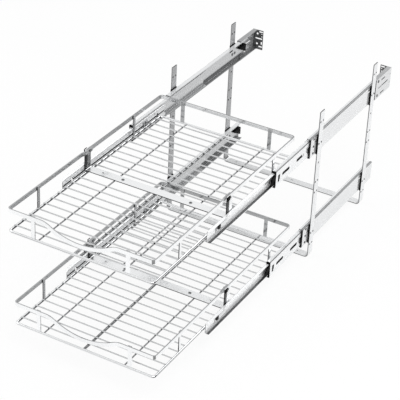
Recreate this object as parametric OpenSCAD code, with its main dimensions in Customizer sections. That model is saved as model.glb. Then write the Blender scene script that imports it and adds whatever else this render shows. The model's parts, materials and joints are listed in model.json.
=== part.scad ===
// Two-tier pull-out wire basket organizer for a base cabinet, in millimetres.
// X runs across the cabinet, Y from its front to its back, and Z up.
// The origin is the middle of the four floor screws, on the underside of the floor straps.
// Both baskets are drawn pulled out, on slides that are almost fully open.

/* [Frames] */
// Width across the outside of the legs
frame_w = 356; // [330:1:420]
// Height of the legs above the cabinet floor
frame_h = 356; // [340:1:450]
// Width of the flat strap that both frames are bent from
strap_w = 19; // [17:0.5:24]
// Thickness of that strap
strap_t = 2; // [1.6:0.1:2.6]
// Inside radius of the bend between floor strap and leg
strap_bend_r = 7; // [4:0.5:12]
// Distance from the middle of the front frame to the middle of the rear frame
frame_spacing = 262; // [220:1:270]

/* [Frame holes] */
// Distance between the left and right floor screws
floor_screw_spacing = 296; // [200:1:310]
// Radius of the floor screw holes
floor_hole_r = 2.5; // [1.5:0.1:3.5]
// Radius of the holes in the legs
leg_hole_r = 2.2; // [2.1:0.1:2.6]
// Distance between the two holes of a pair in a leg
leg_hole_pitch = 11; // [9:0.5:12]

/* [Slides] */
// Height of the middle of the lower slides above the cabinet floor
lower_slide_z = 61.5; // [55:0.5:90]
// Height of the middle of the upper slides above the cabinet floor
upper_slide_z = 281; // [220:0.5:300]
// Length of the cabinet member, the fixed part of a slide
slide_l = 350; // [345:1:400]
// Height of the cabinet member
slide_h = 45.7; // [44:0.1:50]
// Thickness of a whole slide, from the leg side to the basket side
slide_depth = 12.7; // [12.5:0.1:14]
// Thickness of the sheet that the members are rolled from
slide_sheet = 1.2; // [1:0.1:1.4]
// Outside radius of the rolled corners
fold_r = 2.4; // [1.8:0.1:3]
// How far the slides stand out in front of the front legs
slide_overhang = 27.5; // [10:0.5:40]
// How much shorter the middle member is than the cabinet member
middle_short = 45; // [30:1:60]
// How far the inner member stands out of the closed slide
inner_nose = 46; // [30:1:60]
// Distance from the closed inner member's rear end to the cabinet member's rear end
inner_rear_gap = 9; // [5:1:20]
// Length of the middle member that stays inside the cabinet member of an open slide
cabinet_overlap = 157; // [150:1:170]
// Length of the inner member that stays inside the middle member of an open slide
inner_overlap = 127; // [125:1:150]
// How far the lower basket is pushed in from fully open
lower_push_in = 14; // [0:1:40]

/* [Slide bearings] */
// Diameter of a bearing ball
ball_d = 3.175; // [3:0.005:3.4]
// Clearance between a ball and each face that it touches
ball_clear = 0.1; // [0.05:0.01:0.15]
// Number of balls in one row
balls_per_row = 6; // [3:1:8]
// Length of the outer ball cages
outer_cage_l = 130; // [100:1:140]
// Length of the inner ball cages
inner_cage_l = 110; // [90:1:115]
// Thickness of the cage sheet
cage_t = 0.8; // [0.6:0.1:1]

/* [Basket] */
// Length of a basket
basket_l = 547; // [520:1:560]
// How far a basket stands out in front of its inner members
basket_reach = 185; // [160:1:195]
// How far the middle of the bottom wire lies below the middle of the slides
basket_drop = 2; // [0:0.5:4]
// Height of the top of the rail above the middle of the bottom wire
rail_top = 50.4; // [44:0.1:60]
// Height of the flat rail band
rail_h = 8; // [7:0.5:10]
// Thickness of the rail band
rail_t = 2.5; // [2:0.1:3]
// Outside radius of the rail's corners, seen from above
rail_corner_r = 8; // [6:0.5:20]
// Depth of the dip in the front rail
dip_depth = 22.5; // [10:0.5:26]
// Radius of the bottom of the dip
dip_r = 138; // [110:1:150]
// Radius of the shoulders that lead into the dip
shoulder_r = 40; // [20:1:45]
// Distance from the basket's front to the middle of the strap under its floor
riser_y = 270.5; // [262:0.5:276]
// Width of that strap
riser_w = 20; // [17:0.5:22]
// Thickness of that strap
riser_t = 2; // [1.6:0.1:2.4]

/* [Basket wires] */
// Radius of the bottom frame's wire and of the middle lengthwise wire
frame_wire_r = 2.75; // [2.25:0.05:3.25]
// Radius of the bottom frame's corners, to the middle of the wire
wire_corner_r = 7; // [6:0.5:20]
// Radius of the cross wires and of the side lengthwise wires
wire_r = 1.5; // [1.25:0.05:1.8]
// Number of cross wires in front of the strap
front_wires = 10; // [8:1:11]
// Number of cross wires behind the strap
rear_wires = 11; // [9:1:12]
// Distance from the basket's middle to a side lengthwise wire
rib_x = 91.5; // [80:0.5:98]

/* [Hidden] */
$fn = 48;

// The two tiers and the two sides
lower = 0;
upper = 1;
tiers = [lower, upper];
sides = [-1, 1];
left = -1;
right = 1;

// General fits
overrun = 1;
weld_gap = 0.05;
running_gap = 0.3;

// Leg spacers: flat pads behind the slides with a lip over the strap's front edge
spacer_t = 1.8;
spacer_lip_t = 1.6;
// Heights of the spare hole pairs and of the single hole, as shares of the leg height
leg_pair_shares = [0.093, 0.458, 0.531, 0.933];
leg_single_share = 0.657;

// Screws with low round heads
screw_r = 2;
screw_hole_r = 2.2;
screw_head_r = 3.4;
screw_head_h = 1.2;
screw_tip = 0.8;

// Where the slides stand
slide_x = frame_w / 2 - strap_t - spacer_t;
cabinet_front = -frame_spacing / 2 - strap_w / 2 - slide_overhang;
cabinet_rear = cabinet_front + slide_l;
tier_zs = [lower_slide_z, upper_slide_z];
tier_pushes = [lower_push_in, 0];

// Lengths and travels of the slide members
middle_l = slide_l - middle_short;
inner_l = slide_l + inner_nose - inner_rear_gap;
middle_travel = middle_l - cabinet_overlap;
basket_travel = slide_l - inner_rear_gap + middle_travel - inner_overlap;
middle_travel_share = middle_travel / basket_travel;

// Sections of the slide members, measured from the slide's leg side
ball_r = ball_d / 2;
race_gap = ball_d + 2 * ball_clear;
cabinet_depth = 9.6;
lip_h = 1.2;
bead_h = 0.8;
middle_web_s = 2.7;
middle_edge_s = 11;
inner_edge_s = 5.5;
middle_h = slide_h - 2 * slide_sheet - 2 * race_gap;
inner_h = middle_h - 2 * slide_sheet - 2 * race_gap;
outer_ball_s = 6;
inner_ball_s = 8.2;
outer_ball_h = middle_h / 2 + race_gap / 2;
inner_ball_h = inner_h / 2 + race_gap / 2;
cage_w = 4.6;
inner_cage_s = 4.3;

// Cut-outs in the webs, each as distance from the member's front end, height, length and width
front_pin_y = 13;
front_pin_r = 1.3;
front_pin_shares = [-0.66, 0.04, 0.79];
cabinet_slot_y = 36;
cabinet_slot_l = 28;
cabinet_slot_w = 5;
cabinet_slot_z = 8.5;
rear_slot_y = 286;
rear_slot_l = 18;
rear_slot_w = 4;
rear_slot_z = 10;
middle_slot_y = 43;
middle_slot_step = 63;
middle_slot_l = 32;
middle_slot_w = 7;
middle_hook_y = 16;
middle_hook_l = 12;
middle_hook_w = 2.6;
inner_slot_y = 33;
inner_slot_l = 13;
inner_slot_w = 6;
inner_end_r = 6;
inner_notch_r = 6.5;

// Plastic clips on the front ends of the members
clip_t = 3;
cabinet_clip_h = 41.4;
cabinet_clip_s = middle_web_s - running_gap;
cabinet_pad_l = 6;
cabinet_pad_h = 12;
middle_clip_s = inner_edge_s - running_gap;
middle_pad_l = 13;
middle_pad_h = 10;
middle_pad_z = 5;
clip_block_gap = 0.5;

// Rear stop on the cabinet member's web: a wedge with a level top edge, clear of the inner member
stop_l = 28;
stop_nose_h = 4;
stop_rear_gap = 5.5;
stop_side_gap = 3;
stop_web_gap = 2.6;
stop_h = inner_h - 2 * slide_sheet - 2 * stop_side_gap;
stop_top_s = slide_depth - slide_sheet - stop_web_gap;
stop_front = cabinet_rear - stop_rear_gap - stop_l;

// Release lever inside the inner member
lever_y = 38;
lever_l = 37;
lever_h = 8;
lever_t = 2.6;
lever_z = 1;

// Rear brackets of the upper slides
bracket_t = 1.5;
bracket_lap = 31;
bracket_l = 80;
bracket_lip = 9;
bracket_flange = 24.9;
bracket_h = slide_h + 2 * bracket_t + 2 * weld_gap;
bracket_front = cabinet_rear - bracket_lap;
bracket_rear = bracket_front + bracket_l;
bracket_slot_w = 3.4;
bracket_screw_r = 2.5;
bracket_screw_s = 10;
bracket_screw_zs = [-10.5, 15];
bracket_pilot_r = 1.4;
bracket_pilot_s = 21.5;
bracket_pilot_zs = [9, 15.5];
flange_slot_z = 3;
flange_slot_s = 14;
flange_slot_l = 18;
flange_end_slot_s = 19;
flange_end_slot_l = 10;
flange_end_slot_zs = [-17, 20.6];
flange_short_slot_z = -7.5;
flange_short_slot_l = 7.5;
side_slot_y = 39;
side_slot_l = 51;
side_short_slot_y = 36.5;
side_short_slot_l = 20;
side_short_slot_zs = [-18, 15];
side_hole_y = 75;
side_hole_z = 10;
rivet_y = 11;
rivet_z = 17.5;
rivet_r = 2;

// Basket sizes that follow from the slides
basket_w = 2 * (slide_x - slide_depth - riser_t);
rail_z = rail_top - rail_h / 2;
dip_angle = acos(1 - dip_depth / (dip_r + shoulder_r));
dip_half = (dip_r + shoulder_r) * sin(dip_angle);
dip_steps = 24;
shoulder_steps = 8;
wire_w = basket_w - 2 * frame_wire_r;
wire_l = basket_l - 2 * frame_wire_r;

// Lap of the two rail bands at the risers
lap_gap = 0.1;
jog_l = 10;
lap_clip_l = 4;
lap_clip_over = 1;
rear_rail_start = riser_y - riser_w / 2;
jog_end = rear_rail_start - lap_clip_l - overrun;
jog_start = jog_end - jog_l;

// Vertical posts between bottom frame and rail
post_t = 2;
end_post_w = 8.5;
side_post_w = 7;
post_x = 103;
post_gap = 0.5;

// Places of the cross wires
first_wire_gap = 20;
last_wire_gap = 23.5;
strap_gap_front = 38.5;
strap_gap_rear = 21;
front_pitch = (riser_y - strap_gap_front - first_wire_gap) / (front_wires - 1);
rear_pitch = (basket_l - last_wire_gap - riser_y - strap_gap_rear) / (rear_wires - 1);
front_wire_ys = [for (i = [0 : front_wires - 1]) first_wire_gap + i * front_pitch];
rear_wire_ys = [for (i = [0 : rear_wires - 1]) riser_y + strap_gap_rear + i * rear_pitch];
cross_wire_ys = concat(front_wire_ys, rear_wire_ys);
cross_wire_z = frame_wire_r + wire_r + weld_gap;
// Numbers of cross wires in front of the side posts and the rear ties, each within its own group
front_post_wires = 4;
left_rear_post_wires = 7;
right_rear_post_wires = 8;
tie_wires = 9;
post_set_back = wire_r + post_gap + side_post_w / 2;
front_post_y = front_wire_ys[front_post_wires - 1] + post_set_back;
left_rear_post_y = rear_wire_ys[left_rear_post_wires - 1] + post_set_back;
right_rear_post_y = rear_wire_ys[right_rear_post_wires - 1] + post_set_back;
function side_post_ys(side) = [front_post_y, side < 0 ? left_rear_post_y : right_rear_post_y];

// Strap under the floor and its screws
strap_z = frame_wire_r + weld_gap;
strap_inside_r = 3;
slide_screw_z = strap_z + riser_t + strap_inside_r + screw_head_r;
slide_screw_pitch = 10;
strap_bolt_x = 77;
strap_spare_x = 124;
nut_r = 3.2;
nut_h = 2;
rail_bolt_head_h = 2;
rail_bolt_head_r = 3.4;

// Rear ties between bottom frame and inner member
tie_l = 16;
tie_below = 6;
tie_above = 12;
tie_screw_z = 8;
tie_y = (rear_wire_ys[tie_wires - 1] + rear_wire_ys[tie_wires]) / 2;

// Places along Y at rest
function middle_front(tier) = cabinet_front - middle_travel + tier_pushes[tier] * middle_travel_share;
function inner_front(tier) = cabinet_front - inner_nose - basket_travel + tier_pushes[tier];
function basket_front(tier) = inner_front(tier) - basket_reach;
function outer_cage_front(tier) =
    cabinet_front + (cabinet_overlap - outer_cage_l) / 2 + tier_pushes[tier] * middle_travel_share / 2;
function inner_cage_front(tier) =
    cabinet_front - middle_travel + (inner_overlap - inner_cage_l) / 2
    + tier_pushes[tier] * (1 + middle_travel_share) / 2;

// A rectangle with round corners and its lower left corner at the origin
module rounded2d(size, radius) {
    translate([radius, 0]) square([size.x - 2 * radius, size.y]);
    translate([0, radius]) square([size.x, size.y - 2 * radius]);
    for (x = [radius, size.x - radius], y = [radius, size.y - radius])
        translate([x, y]) circle(radius);
}

// A slot with round ends, along X and centred
module slot2d(length, width) {
    square([length - width, width], center = true);
    for (end = sides)
        translate([end * (length - width) / 2, 0]) circle(width / 2);
}

// Points on an arc, in even steps
function arc_points(centre, radius, from, to, steps) =
    [for (i = [0 : steps]) centre + radius * [cos(from + (to - from) * i / steps),
                                              sin(from + (to - from) * i / steps)]];

// Points of the front rail's line at one distance from its middle, from left to right
function dip_line(side_step) = concat(
    [[-basket_w / 2 - overrun, side_step]],
    arc_points([-dip_half, -shoulder_r], shoulder_r + side_step, 90, 90 - dip_angle, shoulder_steps),
    arc_points([0, dip_r - dip_depth], dip_r - side_step, 270 - dip_angle, 270 + dip_angle, dip_steps),
    arc_points([dip_half, -shoulder_r], shoulder_r + side_step, 90 + dip_angle, 90, shoulder_steps),
    [[basket_w / 2 + overrun, side_step]]
);

// The same points in the other order
function reversed(points) = [for (i = [len(points) - 1 : -1 : 0]) points[i]];

// Extrudes a section drawn in X and Z along Y
module along_y(start, length) {
    translate([0, start + length, 0])
        rotate([90, 0, 0])
            linear_extrude(height = length)
                children();
}

// Extrudes an outline drawn in Y and Z along X
module along_x(start, length) {
    translate([start, 0, 0])
        rotate([90, 0, 90])
            linear_extrude(height = length)
                children();
}

// A round bar or hole along X
module bar_x(radius, start, length) {
    translate([start, 0, 0])
        rotate([0, 90, 0])
            cylinder(r = radius, h = length);
}

// A round bar or hole along Y
module bar_y(radius, start, length) {
    translate([0, start, 0])
        rotate([-90, 0, 0])
            cylinder(r = radius, h = length);
}

// Puts a slide's pieces on one side, with X running inwards from the slide's leg side
module on_side(side) {
    translate([side * slide_x, 0, 0]) {
        if (side > 0)
            mirror([1, 0, 0]) children();
        else
            children();
    }
}

// Puts a slide's pieces at the height of a tier and on one side
module at_slide(tier, side) {
    translate([0, 0, tier_zs[tier]])
        on_side(side)
            children();
}

// Puts a basket's pieces in place, from the front of the basket and the middle of its bottom wire
module at_basket(tier) {
    translate([0, basket_front(tier), tier_zs[tier] - basket_drop])
        children();
}

// A strap bent to a U, with its underside at zero
module u_strap(width, height, strap_width, thickness, inside_r) {
    along_y(-strap_width / 2, strap_width)
        translate([-width / 2, 0])
            difference() {
                rounded2d([width, 2 * height], inside_r + thickness);
                translate([thickness, thickness])
                    rounded2d([width - 2 * thickness, 2 * height], inside_r);
                translate([-overrun, height])
                    square([width + 2 * overrun, height + overrun]);
            }
}

// Holes through both legs of a frame at one height
module leg_hole_pair(z) {
    for (end = sides)
        translate([0, end * leg_hole_pitch / 2, z])
            bar_x(leg_hole_r, -frame_w / 2 - overrun, frame_w + 2 * overrun);
}

// One of the two U-shaped floor frames
module floor_frame(end) {
    color("gainsboro")
        translate([0, end * frame_spacing / 2, 0])
            difference() {
                u_strap(frame_w, frame_h, strap_w, strap_t, strap_bend_r);
                for (share = leg_pair_shares)
                    leg_hole_pair(share * frame_h);
                for (z = tier_zs)
                    leg_hole_pair(z);
                translate([0, 0, leg_single_share * frame_h])
                    bar_x(leg_hole_r, -frame_w / 2 - overrun, frame_w + 2 * overrun);
                for (x = [-floor_screw_spacing / 2, 0, floor_screw_spacing / 2])
                    translate([x, 0, -overrun])
                        cylinder(r = floor_hole_r, h = strap_t + 2 * overrun);
            }
}

// Does something at each crossing of a leg and a slide
module at_legs() {
    for (tier = tiers, side = sides, end = sides)
        translate([0, end * frame_spacing / 2, 0])
            at_slide(tier, side)
                children();
}

// Plastic pads between leg and slide, with a lip in front of the leg
module leg_spacers() {
    color("#202020")
        at_legs()
            difference() {
                union() {
                    translate([-spacer_t, -strap_w / 2, -slide_h / 2])
                        cube([spacer_t, strap_w, slide_h]);
                    translate([-spacer_t - strap_t, -strap_w / 2 - spacer_lip_t, -slide_h / 2])
                        cube([spacer_t + strap_t, spacer_lip_t, slide_h]);
                }
                for (pair = sides)
                    translate([0, pair * leg_hole_pitch / 2, 0])
                        bar_x(screw_hole_r, -spacer_t - overrun, spacer_t + 2 * overrun);
            }
}

// Screws that hold the slides to the legs
module leg_screws() {
    color("silver")
        at_legs()
            for (pair = sides)
                translate([0, pair * leg_hole_pitch / 2, 0]) {
                    bar_x(screw_r, -spacer_t - strap_t - screw_tip,
                        spacer_t + strap_t + screw_tip + slide_sheet);
                    bar_x(screw_head_r, slide_sheet, screw_head_h);
                }
}

// C-shaped section of a member, its web on X = 0 and its open side towards +X
module channel2d(height, depth) {
    translate([0, -height / 2])
        difference() {
            rounded2d([2 * depth, height], fold_r);
            translate([slide_sheet, slide_sheet])
                rounded2d([2 * depth, height - 2 * slide_sheet], fold_r - slide_sheet);
            translate([depth, -overrun])
                square([2 * depth, height + 2 * overrun]);
        }
}

// Section of the cabinet member, with lips that keep the balls in
module cabinet_section() {
    channel2d(slide_h, cabinet_depth);
    for (edge = sides)
        translate([cabinet_depth - slide_sheet / 2, edge * (slide_h / 2 - slide_sheet / 2 - lip_h / 2)])
            square([slide_sheet, slide_sheet + lip_h], center = true);
}

// Section of the middle member, with beads on its edges
module middle_section() {
    translate([middle_web_s, 0])
        channel2d(middle_h, middle_edge_s - middle_web_s);
    for (edge = sides)
        translate([middle_edge_s - bead_h / 2, edge * (middle_h / 2 - slide_sheet / 2 + bead_h / 2)])
            square([bead_h, slide_sheet + bead_h], center = true);
}

// Section of the inner member, open towards the leg
module inner_section() {
    translate([slide_depth, 0])
        mirror([1, 0])
            channel2d(inner_h, slide_depth - inner_edge_s);
}

// Fixed part of a slide
module cabinet_member(tier, side) {
    color("gainsboro")
        at_slide(tier, side)
            difference() {
                along_y(cabinet_front, slide_l) cabinet_section();
                for (end = sides, pair = sides)
                    translate([0, end * frame_spacing / 2 + pair * leg_hole_pitch / 2, 0])
                        bar_x(screw_hole_r, -overrun, slide_sheet + 2 * overrun);
                for (share = front_pin_shares)
                    translate([0, cabinet_front + front_pin_y, share * slide_h / 2])
                        bar_x(front_pin_r, -overrun, slide_sheet + 2 * overrun);
                along_x(-overrun, slide_sheet + 2 * overrun) {
                    translate([cabinet_front + cabinet_slot_y, cabinet_slot_z])
                        slot2d(cabinet_slot_l, cabinet_slot_w);
                    translate([cabinet_front + rear_slot_y, rear_slot_z])
                        slot2d(rear_slot_l, rear_slot_w);
                }
                if (tier == upper)
                    for (edge = sides)
                        translate([0, bracket_front + rivet_y, edge * rivet_z])
                            bar_x(rivet_r, -overrun, slide_sheet + 2 * overrun);
            }
}

// Plastic clips on the front ends of the cabinet members
module cabinet_member_clips() {
    color("#202020")
        for (tier = tiers, side = sides)
            at_slide(tier, side)
                translate([0, cabinet_front - clip_t, 0]) {
                    translate([0, 0, -cabinet_clip_h / 2])
                        cube([cabinet_clip_s, clip_t, cabinet_clip_h]);
                    translate([0, -cabinet_pad_l, -cabinet_pad_h / 2])
                        cube([cabinet_clip_s, cabinet_pad_l, cabinet_pad_h]);
                }
}

// Plastic stops that the closed inner members slide over
module rear_stops() {
    color("#202020")
        for (tier = tiers, side = sides)
            at_slide(tier, side)
                along_x(slide_sheet, stop_top_s - slide_sheet)
                    translate([stop_front, 0])
                        polygon([
                            [0, stop_h / 2 - stop_nose_h],
                            [stop_l, -stop_h / 2],
                            [stop_l, stop_h / 2],
                            [0, stop_h / 2]
                        ]);
}

// Sheet metal bracket behind an upper slide, with a flange for the cabinet's back
module rear_bracket(side) {
    color("gainsboro")
        at_slide(upper, side)
            difference() {
                union() {
                    translate([-bracket_t, bracket_front, -bracket_h / 2])
                        cube([bracket_t, bracket_l, bracket_h]);
                    for (edge = sides)
                        translate([-bracket_t, bracket_front, edge * (bracket_h - bracket_t) / 2 - bracket_t / 2])
                            cube([bracket_t + bracket_lip, bracket_l, bracket_t]);
                    translate([-bracket_t, bracket_rear - bracket_t, -bracket_h / 2])
                        cube([bracket_t + bracket_flange, bracket_t, bracket_h]);
                }
                bracket_side_cuts();
                bracket_flange_cuts();
            }
}

// Slots and holes in the bracket's side plate
module bracket_side_cuts() {
    along_x(-bracket_t - overrun, bracket_t + 2 * overrun)
        translate([bracket_front, 0]) {
            translate([side_slot_y, 0]) slot2d(side_slot_l, bracket_slot_w);
            for (z = side_short_slot_zs)
                translate([side_short_slot_y, z]) slot2d(side_short_slot_l, bracket_slot_w);
            for (edge = sides) {
                translate([side_hole_y, edge * side_hole_z]) circle(bracket_pilot_r);
                translate([rivet_y, edge * rivet_z]) circle(rivet_r);
            }
        }
}

// Screw holes and slots in the bracket's flange
module bracket_flange_cuts() {
    along_y(bracket_rear - bracket_t - overrun, bracket_t + 2 * overrun) {
        for (z = bracket_screw_zs)
            translate([bracket_screw_s, z]) circle(bracket_screw_r);
        for (z = bracket_pilot_zs)
            translate([bracket_pilot_s, z]) circle(bracket_pilot_r);
        translate([flange_slot_s, flange_slot_z]) slot2d(flange_slot_l, bracket_slot_w);
        for (z = flange_end_slot_zs)
            translate([flange_end_slot_s, z]) slot2d(flange_end_slot_l, bracket_slot_w);
        translate([bracket_pilot_s, flange_short_slot_z])
            rotate(90) slot2d(flange_short_slot_l, bracket_slot_w);
    }
}

// Rivets between the rear brackets and the upper cabinet members
module bracket_rivets() {
    color("silver")
        for (side = sides, edge = sides)
            at_slide(upper, side)
                translate([0, bracket_front + rivet_y, edge * rivet_z]) {
                    bar_x(rivet_r - weld_gap, -bracket_t, bracket_t + slide_sheet);
                    bar_x(screw_head_r, -bracket_t - screw_head_h, screw_head_h);
                    bar_x(screw_head_r, slide_sheet, screw_head_h);
                }
}

// Part of a slide that runs in the cabinet member
module middle_member(tier, side) {
    color("gainsboro")
        at_slide(tier, side)
            translate([0, middle_front(tier), 0])
                difference() {
                    along_y(0, middle_l) middle_section();
                    along_x(middle_web_s - overrun, slide_sheet + 2 * overrun) {
                        for (step = [0, 1])
                            translate([middle_slot_y + step * middle_slot_step, 0])
                                slot2d(middle_slot_l, middle_slot_w);
                        translate([middle_hook_y, 0])
                            rotate(90) slot2d(middle_hook_l, middle_hook_w);
                    }
                }
}

// Plastic clips on the front ends of the middle members, clear of the inner members
module middle_member_clips(tier) {
    block_h = middle_h / 2 - inner_h / 2 - clip_block_gap;
    color("#202020")
        for (side = sides)
            at_slide(tier, side)
                translate([middle_web_s, middle_front(tier) - clip_t, 0]) {
                    translate([0, 0, -middle_h / 2])
                        cube([middle_clip_s - middle_web_s, clip_t, middle_h]);
                    for (edge = sides)
                        translate([0, 0, edge * (middle_h - block_h) / 2 - block_h / 2])
                            cube([middle_edge_s - middle_web_s, clip_t, block_h]);
                    translate([0, -middle_pad_l, middle_pad_z - middle_pad_h / 2])
                        cube([middle_clip_s - middle_web_s, middle_pad_l, middle_pad_h]);
                }
}

// Round holes for the balls of one row, along Z
module ball_row(length, depth_s, radius, height) {
    pitch = length / balls_per_row;
    for (i = [0 : balls_per_row - 1])
        translate([depth_s, (i + 1 / 2) * pitch, -height / 2])
            cylinder(r = radius, h = height);
}

// Flat strips that space the balls between cabinet member and middle member
module outer_ball_cages(tier) {
    color("darkgray")
        for (side = sides, edge = sides)
            at_slide(tier, side)
                translate([0, outer_cage_front(tier), edge * outer_ball_h])
                    difference() {
                        translate([outer_ball_s - cage_w / 2, 0, -cage_t / 2])
                            cube([cage_w, outer_cage_l, cage_t]);
                        ball_row(outer_cage_l, outer_ball_s, ball_r + ball_clear, cage_t + overrun);
                    }
}

// C-shaped cages that space the balls between middle member and inner member
module inner_ball_cages(tier) {
    height = 2 * inner_ball_h + cage_t;
    depth = inner_ball_s + cage_w / 2 - inner_cage_s;
    color("darkgray")
        for (side = sides)
            at_slide(tier, side)
                translate([0, inner_cage_front(tier), 0])
                    difference() {
                        translate([inner_cage_s, 0, -height / 2])
                            cube([depth, inner_cage_l, height]);
                        translate([inner_cage_s + cage_t, -overrun, -height / 2 + cage_t])
                            cube([depth, inner_cage_l + 2 * overrun, height - 2 * cage_t]);
                        for (edge = sides)
                            translate([0, 0, edge * inner_ball_h])
                                ball_row(inner_cage_l, inner_ball_s, ball_r + ball_clear, cage_t + overrun);
                    }
}

// Balls of the two rows of each slide on a tier
module balls(tier, front, length, depth_s, height) {
    pitch = length / balls_per_row;
    color("silver")
        for (side = sides, edge = sides, i = [0 : balls_per_row - 1])
            at_slide(tier, side)
                translate([depth_s, front + (i + 1 / 2) * pitch, edge * height])
                    sphere(ball_r);
}

module outer_balls(tier) {
    balls(tier, outer_cage_front(tier), outer_cage_l, outer_ball_s, outer_ball_h);
}

module inner_balls(tier) {
    balls(tier, inner_cage_front(tier), inner_cage_l, inner_ball_s, inner_ball_h);
}

// Part of a slide that carries the basket
module inner_member(tier, side) {
    color("gainsboro")
        at_slide(tier, side)
            translate([0, inner_front(tier), 0])
                difference() {
                    intersection() {
                        along_y(0, inner_l) inner_section();
                        along_x(0, slide_depth + overrun)
                            translate([0, -inner_h / 2]) rounded2d([inner_l, inner_h], inner_end_r);
                    }
                    along_x(slide_depth - slide_sheet - overrun, slide_sheet + 2 * overrun) {
                        for (y = [inner_slot_y, inner_l - inner_slot_y])
                            translate([y, 0])
                                rotate(90) slot2d(inner_slot_l, inner_slot_w);
                        translate([inner_l, 0]) circle(inner_notch_r);
                    }
                    for (pair = sides)
                        translate([0, riser_y - basket_reach + pair * slide_screw_pitch / 2,
                            slide_screw_z - basket_drop])
                            slide_screw_hole();
                    translate([0, tie_y - basket_reach, tie_screw_z - basket_drop])
                        slide_screw_hole();
                }
}

// Hole through the inner member's web for a basket screw
module slide_screw_hole() {
    bar_x(screw_hole_r, slide_depth - slide_sheet - overrun, slide_sheet + 2 * overrun);
}

// Plastic levers that free the inner members
module release_levers(tier) {
    color("#202020")
        for (side = sides)
            at_slide(tier, side)
                along_x(slide_depth - slide_sheet - weld_gap - lever_t, lever_t)
                    translate([inner_front(tier) + lever_y + lever_l / 2, lever_z])
                        slot2d(lever_l, lever_h);
}

// The whole rail seen from above, filled, and taken in on all sides
module rail_plan2d(inset) {
    translate([inset - basket_w / 2, inset])
        rounded2d([basket_w - 2 * inset, basket_l - 2 * inset], rail_corner_r - inset);
}

// The same, stepped inwards on both sides where the front band laps the rear band
module stepped_plan2d(inset) {
    step = rail_t + lap_gap;
    outside_x = basket_w / 2 - inset + overrun;
    stepped_x = basket_w / 2 - inset - step;
    difference() {
        rail_plan2d(inset);
        for (turn = [0, 1])
            mirror([turn, 0])
                polygon([
                    [outside_x, jog_start - overrun * jog_l / step],
                    [stepped_x, jog_end],
                    [stepped_x, basket_l + overrun],
                    [outside_x, basket_l + overrun]
                ]);
    }
}

// The rail seen from the front with its dip, drawn in X and Z about the rail's middle
module rail_front2d() {
    polygon(concat(dip_line(rail_h / 2), reversed(dip_line(-rail_h / 2))));
}

// Hole for the bolt through both rail bands
module rail_bolt_hole() {
    translate([0, riser_y, 0])
        bar_x(screw_hole_r, -basket_w / 2 - overrun, basket_w + 2 * overrun);
}

// Band round the front half of the basket
module front_rail(tier) {
    color("whitesmoke")
        at_basket(tier)
            translate([0, 0, rail_z])
                difference() {
                    intersection() {
                        linear_extrude(height = 2 * (dip_depth + rail_h), center = true)
                            difference() {
                                stepped_plan2d(0);
                                stepped_plan2d(rail_t);
                                translate([-basket_w, riser_y + riser_w / 2])
                                    square([2 * basket_w, basket_l]);
                            }
                        along_y(-overrun, basket_l) rail_front2d();
                    }
                    rail_bolt_hole();
                }
}

// Band round the rear half of the basket
module rear_rail(tier) {
    color("whitesmoke")
        at_basket(tier)
            translate([0, 0, rail_z])
                difference() {
                    linear_extrude(height = rail_h, center = true)
                        difference() {
                            rail_plan2d(0);
                            rail_plan2d(rail_t);
                            translate([-basket_w, -overrun])
                                square([2 * basket_w, rear_rail_start + overrun]);
                        }
                    rail_bolt_hole();
                }
}

// Flat posts from the bottom frame to the rail
module rail_posts(tier) {
    post_h = rail_top - frame_wire_r - weld_gap;
    color("whitesmoke")
        at_basket(tier)
            translate([0, 0, frame_wire_r + weld_gap]) {
                for (side = sides, y = [rail_t, basket_l - rail_t - post_t])
                    translate([side * post_x - end_post_w / 2, y, 0])
                        cube([end_post_w, post_t, post_h]);
                for (side = sides, y = side_post_ys(side))
                    translate([side * (basket_w / 2 - rail_t - post_t / 2) - post_t / 2, y - side_post_w / 2, 0])
                        cube([post_t, side_post_w, post_h]);
            }
}

// Heavy wire round the bottom of the basket
module bottom_frame(tier) {
    run_x = wire_w - 2 * wire_corner_r;
    run_y = wire_l - 2 * wire_corner_r;
    color("silver")
        at_basket(tier)
            translate([0, basket_l / 2, 0]) {
                for (side = sides) {
                    translate([side * wire_w / 2, 0, 0])
                        bar_y(frame_wire_r, -run_y / 2, run_y);
                    translate([0, side * wire_l / 2, 0])
                        bar_x(frame_wire_r, -run_x / 2, run_x);
                }
                for (quarter = [0 : 3])
                    translate([
                        (quarter == 0 || quarter == 3 ? 1 : -1) * run_x / 2,
                        (quarter < 2 ? 1 : -1) * run_y / 2,
                        0
                    ])
                        rotate(90 * quarter)
                            rotate_extrude(angle = 90)
                                translate([wire_corner_r, 0]) circle(frame_wire_r);
            }
}

// Wires along the basket, between the front and rear of the bottom frame
module lengthwise_wires(tier) {
    side_z = frame_wire_r - wire_r;
    end_gap = 2 * frame_wire_r + weld_gap;
    color("silver")
        at_basket(tier) {
            bar_y(frame_wire_r, end_gap, basket_l - 2 * end_gap);
            for (side = sides)
                translate([side * rib_x, 0, side_z])
                    bar_y(wire_r, end_gap, basket_l - 2 * end_gap);
        }
}

// Thin wires across the floor of the basket
module cross_wires(tier) {
    color("silver")
        at_basket(tier)
            for (y = cross_wire_ys)
                translate([0, y, cross_wire_z])
                    bar_x(wire_r, -wire_w / 2, wire_w);
}

// Strap across the floor of the basket, bent up at both ends to the rail
module floor_strap(tier) {
    color("gainsboro")
        at_basket(tier)
            translate([0, riser_y, 0])
                difference() {
                    translate([0, 0, strap_z])
                        u_strap(basket_w + 2 * riser_t, rail_top - strap_z, riser_w, riser_t, strap_inside_r);
                    translate([0, 0, rail_z])
                        bar_x(screw_hole_r, -basket_w, 2 * basket_w);
                    for (pair = sides)
                        translate([0, pair * slide_screw_pitch / 2, slide_screw_z])
                            bar_x(screw_hole_r, -basket_w, 2 * basket_w);
                    for (side = sides, x = [strap_bolt_x, strap_spare_x])
                        translate([side * x, 0, strap_z - overrun])
                            cylinder(r = screw_hole_r, h = riser_t + 2 * overrun);
                }
}

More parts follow.
